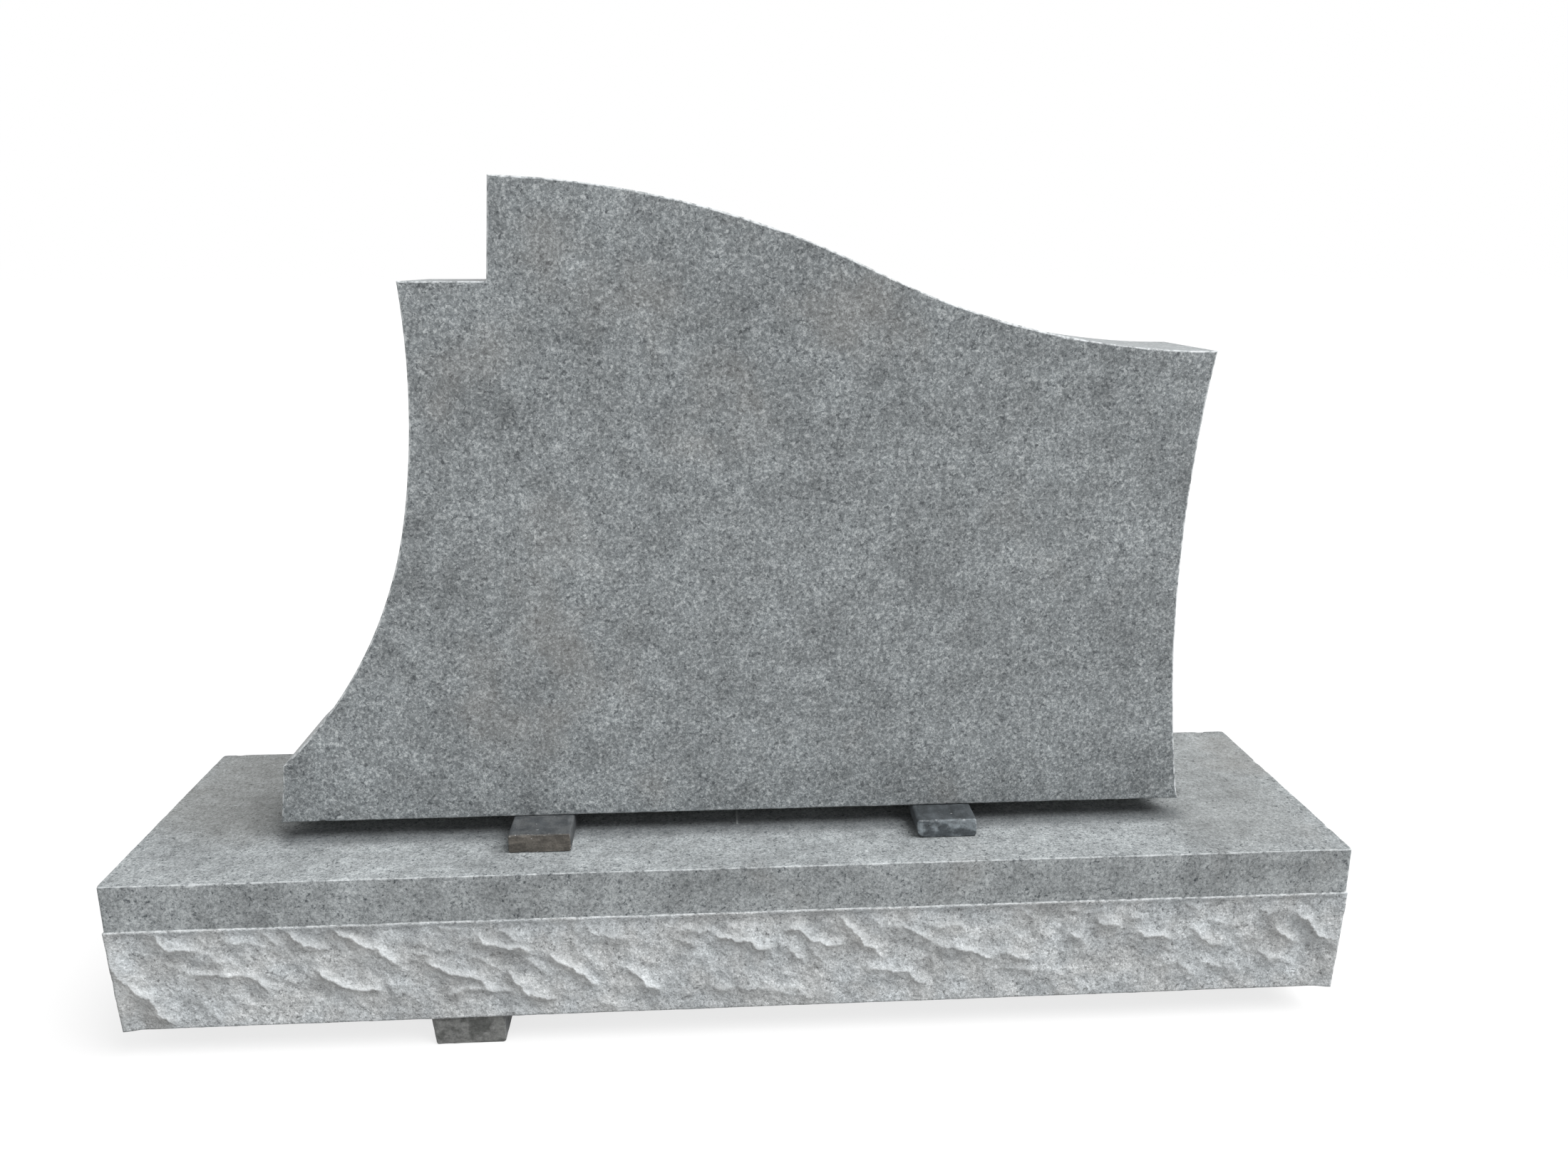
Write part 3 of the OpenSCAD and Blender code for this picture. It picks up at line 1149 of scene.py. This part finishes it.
@dataclass
class BaseStone:
    """The base: polished top and margin, pitch line, and rock-pitched faces all round."""

    finish: Granite
    node: str = BASE_NODE
    slot: str = "base_granite"
    margin: float = 54 * MM
    proud: float = ROCK_PROUD
    front_step: float = 1.8 * MM
    far_step: float = 3.5 * MM
    row_step: float = 2.0 * MM
    wear: Wear = Wear(
        1.0 * MM,
        waves=((0.4, 26 * MM), (0.35, 8 * MM)),
        chip=2.4 * MM,
        chip_size=15 * MM,
        chip_range=(0.45, 0.9),
    )
    edge_wear: float = 0.25
    bulge_wear: float = 0.45
    corner_blunt: float = 0.8 * MM
    foot_turn: float = 3 * MM
    # The line between the margin and the rock face
    pitch_sway: float = 0.7 * MM
    pitch_sway_size: float = 40 * MM
    pitch_half: float = 0.3 * MM
    pitch_shoulder: float = 0.9 * MM
    pitch_wear: float = 0.8
    rock_edge_wear: float = 0.35
    # Main form of the rock face
    set_in_mm: float = 3.8
    batter_mm: float = 2.6
    edge_mm: float = 1.0
    edge_sway_mm: float = 0.5
    edge_sway_size: float = 24 * MM
    edge_fall_mm: float = 10.0
    corner_edge_mm: float = 0.8
    corner_batter_mm: float = 3.6
    corner_reach: float = 22 * MM
    foot_reach: float = 14 * MM
    foot_calm: float = 0.25
    limit_share: float = 0.95
    limit_soft_mm: float = 0.7
    # Roughness of the rock face
    warp_mm: float = 3.0
    warp_size: float = 13 * MM
    row_wander: float = 0.7
    row_wander_size: float = 80 * MM
    row_patch_size: float = 55 * MM
    front_share: float = 0.22
    swell_mm: float = 1.4
    swell_size: float = 60 * MM
    fine_mm: float = 1.5
    fine_size: float = 12 * MM
    fine_at_edge: float = 0.25
    fine_at_corner: float = 0.3
    grit_mm: float = 0.4
    grit_size: float = 3.5 * MM
    seed: int = 23
    lips: List[Lip] = field(default_factory=front_lips)
    shingles: Tuple[Shingles, ...] = (Shingles(64.0, 4.2, 36.0), Shingles(31.0, 2.2, 41.0))

    def __post_init__(self) -> None:
        """Takes the base's place from the frame."""
        self.low, self.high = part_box(self.node)
        self.half = np.array([self.high.x - self.proud, self.high.y - self.proud])
        self.pitch_z = self.high.z - self.margin
        self.rock_mm = (self.pitch_z - self.low.z) / MM
        self.noise = Field(self.seed)

    def _length(self, face: Face) -> float:
        """Length of a side along the margin."""
        return 2 * float(self.half[0 if face.value[0] == 0 else 1])

    def _side_lips(self, face: Face) -> List[Lip]:
        """Ridges of a side: the known ones of the front, or large random ones, with small ones between.

        Args:
            face: The side of the base.

        Returns:
            The ridges, largest first.
        """
        random = np.random.default_rng(self.seed + list(Face).index(face))
        shows = face is Face.FRONT
        lips = list(self.lips) if shows else []
        for kind in (SMALL_RIDGES,) if shows else (LARGE_RIDGES, SMALL_RIDGES):
            lips += kind.spread(random, self._length(face) / MM, self.rock_mm)
        return lips

    def _stations(self) -> Stations:
        """Sets places round the margin.

        Returns:
            The places, closest together on the front.
        """
        columns = []
        faces = list(Face)
        for index, face in enumerate(faces):
            out = np.array(face.value, dtype=float)
            along = np.array([-out[1], out[0]])
            length = self._length(face)
            count = round(length / (self.front_step if face is Face.FRONT else self.far_step))
            run = np.arange(count) * length / count
            way = np.repeat(out[None], count, axis=0)
            way[0] += faces[index - 1].value
            places = (out - along) * self.half + run[:, None] * along
            alongs = np.repeat(along[None], count, axis=0)
            columns.append((places, way, alongs, run, np.full(count, length), np.full(count, index)))
        return Stations(*(np.concatenate(values) for values in zip(*columns)))

    def _side_relief(self, face: Face, reach: np.ndarray, places: np.ndarray) -> Relief:
        """Relief of one side: its own ridges over rows of weaker ones.

        Args:
            face: The side of the base.
            reach: Distance of each station along the side.
            places: Points of the plain side, by row and station.

        Returns:
            The relief at those points.
        """

        def warp(shift: float) -> np.ndarray:
            """Uneven shift of the points, so that no ridge runs straight."""
            return self.warp_mm * self.noise.layers(places + shift, self.warp_size, 4)

        along = reach / MM + warp(0.0)
        up = (places[..., 2] - self.low.z) / MM + warp(3.0)
        wander = self.row_wander * self.noise.layers(places + 9.0, self.row_wander_size, 2)
        share = ease(self.noise.at(places + 8.0, self.row_patch_size), -0.5, 0.5)
        if face is Face.FRONT:
            share = share * self.front_share
        rows = [shingles.relief(along, up, wander) * share for shingles in self.shingles]
        lips = [lip.relief(along, up) for lip in self._side_lips(face)]
        return sum(rows[1:] + lips, rows[0])

    def _rock(self, stations: Stations, heights: np.ndarray) -> Relief:
        """The rock face from the pitch line down.

        Args:
            stations: Places round the margin.
            heights: Height of each row at each station.

        Returns:
            The rock's distance out of the margin's plane, in metres, with its marks.
        """
        plane = np.broadcast_to(stations.places, (*heights.shape, 2))
        places = np.concatenate([plane, heights[..., None]], axis=-1)
        parts = []
        for index, face in enumerate(Face):
            here = stations.sides == index
            parts.append(self._side_relief(face, stations.reach[here], places[:, here]))
        out, crest, hollow = (
            np.concatenate([getattr(part, name) for part in parts], axis=1)
            for name in ("out", "crest", "hollow")
        )
        noise = self.noise
        below = (self.pitch_z - places[..., 2]) / MM
        fine = self.fine_mm * noise.layers(places + 1.0, self.fine_size, 3)
        fine = fine + self.grit_mm * noise.at(places + 2.0, self.grit_size)
        swell = self.swell_mm * noise.at(places + 4.0, self.swell_size)
        foot = ease(places[..., 2] - self.low.z, 0.0, self.foot_reach)
        calm = self.foot_calm + (1 - self.foot_calm) * foot
        inland = ease(stations.to_corner, 0.0, self.corner_reach)
        batter = self.batter_mm * (below / self.rock_mm) ** 2
        inner = (out + swell) * calm - self.set_in_mm - batter
        shoulder = ease(below, 0.0, self.edge_fall_mm)
        edge = self.edge_mm + self.edge_sway_mm * noise.at(places + 6.0, self.edge_sway_size)
        rock = edge + shoulder * (inner - edge)
        corner = self.corner_edge_mm - self.corner_batter_mm * below / self.rock_mm
        rock = corner + inland * (rock - corner)
        from_edge = self.fine_at_edge + (1 - self.fine_at_edge) * shoulder
        from_corner = self.fine_at_corner + (1 - self.fine_at_corner) * inland
        rock = rock + from_edge * from_corner * fine * calm
        limit = self.limit_share * self.proud / MM
        soft = self.limit_soft_mm
        held = limit - soft * np.logaddexp(0.0, (limit - rock) / soft)
        return Relief(held * MM, crest * shoulder, hollow * shoulder)

    def rings(self) -> Rings:
        """Lays rings round the base.

        Returns:
            The rings from the base's top down to its foot, with their marks.
        """
        stations = self._stations()
        around = len(stations.places)
        top, foot = self.high.z, self.low.z
        blunt = np.where(stations.reach == 0.0, self.corner_blunt, 0.0)
        level = np.column_stack([stations.places, np.full(around, top)])
        arris = self.wear.widths(self.noise, level)
        pitch = self.pitch_z + self.pitch_sway * self.noise.at(level, self.pitch_sway_size)

        points: List[np.ndarray] = []
        # The crest and hollow marks carry the rock's painted highlight and painted shade, with its
        # crushed stone and dirt.
        marks: Dict[str, List[np.ndarray]] = {"arris": [], "rock": [], "crest": [], "hollow": []}

        def add(inset: np.ndarray, height: Level, **values: Level) -> None:
            """Adds a ring.

            Args:
                inset: Distance of its points inside the margin's plane.
                height: Height of its points.
                **values: Its marks, which are 0 where none is given.
            """
            points.append(np.column_stack([stations.drawn_in(inset), np.broadcast_to(height, around)]))
            for name, rows in marks.items():
                rows.append(np.broadcast_to(values.get(name, 0.0), around))

        add(arris + ARRIS_STRIP + blunt, top)
        add(arris + blunt, top, arris=self.edge_wear)
        add(ARRIS_BULGE * arris + blunt, top - ARRIS_BULGE * arris, arris=self.bulge_wear)
        add(blunt, top - arris, arris=self.edge_wear)
        add(blunt, top - arris - ARRIS_STRIP)
        add(blunt, pitch + self.pitch_shoulder)
        add(blunt, pitch + self.pitch_half, arris=self.pitch_wear)

        rows = round(self.rock_mm * MM / self.row_step)
        part = np.linspace(0.0, 1.0, rows + 1)[:, None]
        heights = (pitch - self.pitch_half) * (1 - part) + foot * part
        rock = self._rock(stations, heights)
        worn = self.rock_edge_wear
        for out, height, crest, hollow in zip(rock.out, heights, rock.crest, rock.hollow):
            add(-out, height, arris=worn, rock=1.0, crest=crest, hollow=hollow)
            worn = 0.0
        add(-rock.out[-1] + self.foot_turn, foot, rock=1.0)
        return Rings(np.array(points), {name: np.array(rows) for name, rows in marks.items()})

    def build(self) -> None:
        """Builds the base and dresses it."""
        settle(self.rings().skin("granite_base"), self.node, self.slot, self.finish.material())


@dataclass(frozen=True)
class SlantCut:
    """A cut that takes the outer corner off a block's front end, at side -1 or 1."""

    side: float
    depth: float = 17 * MM
    length: float = 50 * MM
    face_from: float = 0.98


@dataclass
class WornBlock:
    """A timber block that carries a stone, with rounded edges and a rough skin."""

    name: str
    node: str
    slot: str
    finish: Timber
    edge: float = 3 * MM
    heel: float = 3 * MM
    cut: Optional[SlantCut] = None
    rough: float = 0.5 * MM
    rough_size: float = 12 * MM
    rough_layers: int = 3
    wear: Wear = Wear(
        1.0 * MM,
        waves=((0.5, 11 * MM),),
        chip=2.0 * MM,
        chip_size=14 * MM,
        chip_range=(0.4, 0.9),
        chip_shift=3.0,
    )
    spacing: float = 3 * MM
    end_margin: float = 6 * MM
    corner_steps: int = 6
    seed: int = 41

    def __post_init__(self) -> None:
        """Takes the block's place from the frame."""
        self.low, self.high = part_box(self.node)
        self.middle = 0.5 * (self.low + self.high)

    def _outline(self) -> np.ndarray:
        """Section of the block, with rounded corners.

        Returns:
            Its points as x and z, anticlockwise from the lower left.
        """
        points = []
        for turn, (x, z) in ((180, (-1, -1)), (270, (1, -1)), (0, (1, 1)), (90, (-1, 1))):
            radius = self.heel if turn == 180 else self.edge
            centre_x = self.middle.x + x * (self.high.x - self.middle.x - radius)
            centre_z = self.middle.z + z * (self.high.z - self.middle.z - radius)
            for step in range(self.corner_steps + 1):
                angle = math.radians(turn + 90 * step / self.corner_steps)
                points.append((centre_x + radius * math.cos(angle), centre_z + radius * math.sin(angle)))
        fine = []
        for first, last in zip(points, points[1:] + points[:1]):
            count = max(1, round(math.dist(first, last) / self.spacing))
            fine += [np.array(first) + (np.array(last) - first) * k / count for k in range(count)]
        return np.array(fine)

    def _slant(self, rings: Rings, cut: SlantCut) -> None:
        """Draws the outer side in along a slanted cut, whose face looks like an end.

        Args:
            rings: The block's rings, which are changed.
            cut: The cut.
        """
        half = self.high.x - self.middle.x
        share = np.clip(1 - (rings.points[..., 1] - self.low.y) / cut.length, 0.0, 1.0)
        outer = np.clip((rings.points[..., 0] - self.middle.x) * cut.side / half, 0.0, 1.0)
        rings.points[..., 0] -= cut.side * cut.depth * share * outer
        rings.marks["end"] = np.maximum(rings.marks["end"], (share > 0) & (outer > cut.face_from))

    def build(self) -> None:
        """Builds the block and dresses it."""
        outline = self._outline()
        noise = Field(self.seed)
        arris = self.wear.widths(noise, upright(outline, self.low.y))
        middle = np.arange(self.low.y + self.end_margin, self.high.y - self.end_margin, self.spacing)
        rings = slab_rings(outline, self.low.y, self.high.y, arris, arris[::-1], middle)
        way = inward(outline)
        most = sum(0.5**k for k in range(self.rough_layers))
        bumps = noise.layers(rings.points, self.rough_size, self.rough_layers) / most
        worn = self.rough * (0.5 + 0.5 * bumps)
        rings.points[..., 0] += worn * way[:, 0]
        rings.points[..., 2] += worn * way[:, 1]
        if self.cut:
            self._slant(rings, self.cut)
        settle(rings.skin(self.name), self.node, self.slot, self.finish.material())


@dataclass
class Studio:
    """Pale floor, white surround and soft light from above, the front and the right."""

    floor_reach: float = 60.0
    floor_grey: float = 0.42
    floor_shadow: float = 0.20
    floor_glow: float = 0.77
    ambient: float = 0.40
    front_fill: float = 0.5
    key_power: float = 4.1
    key_from: Spot = (0.52, -0.22, 0.82)
    key_spread_deg: float = 48.0

    @staticmethod
    def _seen(bench: Bench) -> Wire:
        """Tells the rays that show the surround itself.

        Args:
            bench: The tree that the nodes go into.

        Returns:
            1 for rays from the camera, or by gloss or glass, and 0 for those that light.
        """
        rays = [
            bench.node("ShaderNodeLightPath", output=name)
            for name in ("Is Camera Ray", "Is Glossy Ray", "Is Transmission Ray")
        ]
        return rays[0].most(rays[1]).most(rays[2])

    def _floor(self) -> None:
        """Floor that looks white and keeps the shadow."""
        mesh = bpy.data.meshes.new("floor")
        reach = self.floor_reach
        corners = [(-reach, -reach, 0), (reach, -reach, 0), (reach, reach, 0), (-reach, reach, 0)]
        mesh.from_pydata(corners, [], [(0, 1, 2, 3)])
        floor = add_object("floor", mesh)
        material, bench = new_material("floor_white")
        plain = bench.node("ShaderNodeBsdfDiffuse", {}, {"Color": (self.floor_grey,) * 3})
        shade = bench.node("ShaderNodeBsdfDiffuse", {}, {"Color": (self.floor_shadow,) * 3})
        glow = bench.node("ShaderNodeEmission", {}, {"Color": WHITE, "Strength": self.floor_glow})
        white = bench.node("ShaderNodeAddShader", {}, {0: shade, 1: glow})
        both = bench.node("ShaderNodeMixShader", {}, {0: self._seen(bench), 1: plain, 2: white})
        bench.node("ShaderNodeOutputMaterial", {}, {"Surface": both})
        mesh.materials.append(material)
        floor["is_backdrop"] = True

    def _surround(self) -> None:
        """World that looks white and lights the object plainly."""
        world = bpy.data.worlds.new("surround")
        bpy.context.scene.world = world
        world.use_nodes = True
        bench = Bench(world.node_tree)
        seen = self._seen(bench)
        way = bench.node("ShaderNodeTexCoord", output="Generated")
        to_front = 0.5 - 0.5 * bench.node("ShaderNodeSeparateXYZ", {}, {0: way}, "Y")
        light = self.ambient + self.front_fill * to_front * to_front
        strength = light + (1.0 - light) * seen
        sky = bench.node("ShaderNodeBackground", {}, {"Color": WHITE, "Strength": strength})
        bench.node("ShaderNodeOutputWorld", {}, {"Surface": sky})

    def _key(self) -> None:
        """Wide soft key light."""
        lamp = bpy.data.lights.new("key", "SUN")
        lamp.energy = self.key_power
        lamp.angle = math.radians(self.key_spread_deg)
        key = add_object("key", lamp)
        key.rotation_euler = Vector(self.key_from).to_track_quat("Z", "Y").to_euler()

    def build(self) -> None:
        """Builds the floor, the surround and the light."""
        self._floor()
        self._surround()
        self._key()
        bpy.context.scene.view_settings.view_transform = "Standard"


@dataclass
class PhotoCamera:
    """Camera at the photograph's place, worked out from the base's corners."""

    location: Spot = (-0.0320, -1.3739, 0.8526)
    tilt_down_deg: float = 15.08
    turn_right_deg: float = 3.63
    lens_mm: float = 27.76
    sensor_mm: float = 36.0

    def build(self) -> None:
        """Makes the camera and hands it to the scene."""
        data = bpy.data.cameras.new("photo_camera")
        data.lens = self.lens_mm
        data.sensor_width = self.sensor_mm
        camera = add_object("photo_camera", data)
        camera.location = self.location
        pitch, yaw = math.radians(90 - self.tilt_down_deg), math.radians(-self.turn_right_deg)
        camera.rotation_euler = (pitch, 0.0, yaw)
        bpy.context.scene.camera = camera


def on_top(*places: Point) -> Tuple[Spot, ...]:
    """Points of the base's top, from their x and y."""
    return tuple((x, y, BASE_TOP) for x, y in places)


TABLET_GRANITE = Granite(
    "tablet_granite",
    roughness=0.46,
    gloss=0.42,
    body=(0.197, 0.215, 0.222),
    grain_size=2.4 * MM,
    contrast=0.92,
)
# Painted shade and painted reflection: the base's top behind and beside the tablet's toe is darkened and
# warmed, for the tablet's shadow and the toe's dark reflection in the polished top.
TOE_PAINTED_SHADE = Stroke(
    on_top((-0.640, 0.060), (-0.560, 0.020), (-0.600, 0.170)),
    colour=(0.165, 0.158, 0.142),
    strength=0.36,
    width=120 * MM,
    shake=40 * MM,
)
# Painted shade: the base's top is darkened towards the back at its right end.
RIGHT_END_PAINTED_SHADE = Stroke(
    on_top((0.600, -0.060), (0.640, 0.170)),
    colour=(0.165, 0.165, 0.155),
    strength=0.30,
    width=130 * MM,
    shake=40 * MM,
)
# Painted shade: a soft dark band on the base's top along the tablet's front foot, where the tablet's
# shadow falls.
TABLET_FOOT_PAINTED_SHADE = Stroke(
    on_top((-0.505, -0.070), (0.510, -0.070)),
    colour=(0.055, 0.060, 0.064),
    strength=0.55,
    width=32 * MM,
    shake=6 * MM,
)
MARGIN_CRACK = Stroke(
    ((0.520, MARGIN_FRONT, 0.210), (0.532, MARGIN_FRONT, 0.193), (0.544, MARGIN_FRONT, 0.183)),
    colour=(0.070, 0.078, 0.084),
    strength=0.8,
)
CENTRE_MARK = Stroke(
    on_top((-0.004, -0.069), (-0.004, -0.034)),
    colour=(0.480, 0.500, 0.500),
    strength=0.7,
    width=1.8 * MM,
    shake=1 * MM,
)
BASE_GRANITE = Granite(
    "base_granite",
    roughness=0.62,
    gloss=0.02,
    body=(0.264, 0.281, 0.286),
    grain_size=2.3 * MM,
    contrast=0.74,
    pitched=True,
    strokes=(TOE_PAINTED_SHADE, RIGHT_END_PAINTED_SHADE, TABLET_FOOT_PAINTED_SHADE, MARGIN_CRACK, CENTRE_MARK),
)
BROWN_TIMBER = Timber(
    "brown_timber",
    body=(0.046, 0.051, 0.055),
    blotch=(0.076, 0.081, 0.084),
    end=(0.108, 0.098, 0.085),
    end_blotch=(0.064, 0.058, 0.050),
    worn=(0.30, 0.30, 0.29),
)
CHARCOAL_TIMBER = Timber(
    "charcoal_timber",
    body=(0.034, 0.040, 0.044),
    blotch=(0.054, 0.062, 0.068),
    end=(0.062, 0.072, 0.080),
    end_blotch=(0.178, 0.202, 0.217),
    worn=(0.34, 0.36, 0.37),
)
BEARER_TIMBER = Timber(
    "bearer_timber",
    body=(0.165, 0.171, 0.173),
    blotch=(0.105, 0.110, 0.109),
    end=(0.150, 0.153, 0.148),
    end_blotch=(0.074, 0.077, 0.073),
    worn=(0.30, 0.31, 0.31),
)


def write_sizes() -> None:
    """Works out the solids' box and the visual model's box, and keeps neither."""
    boxes = {"cad": CAD_BOX, "visual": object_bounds()}
    {name: [list(low), list(high)] for name, (low, high) in boxes.items()}


def main() -> None:
    """Builds the headstone and its studio."""
    logging.basicConfig(level=logging.INFO, format="%(name)s: %(message)s")
    PhotoCamera().build()
    Studio().build()
    BaseStone(BASE_GRANITE).build()
    Tablet(TABLET_GRANITE).build()
    blocks = (
        WornBlock("spacer_left", "left_spacer", "brown_timber", BROWN_TIMBER, seed=41),
        WornBlock(
            "spacer_right", "right_spacer", "charcoal_timber", CHARCOAL_TIMBER,
            edge=4 * MM, heel=11 * MM, seed=42,
        ),
        WornBlock(
            "bearer_left", "left_bearer", "bearer_timber", BEARER_TIMBER,
            edge=4 * MM, heel=4 * MM, cut=SlantCut(-1), seed=43,
        ),
        WornBlock(
            "bearer_right", "right_bearer", "bearer_timber", BEARER_TIMBER,
            edge=4 * MM, heel=4 * MM, cut=SlantCut(1), seed=44,
        ),
    )
    for block in blocks:
        block.build()
    write_sizes()


if __name__ == "__main__":
    main()
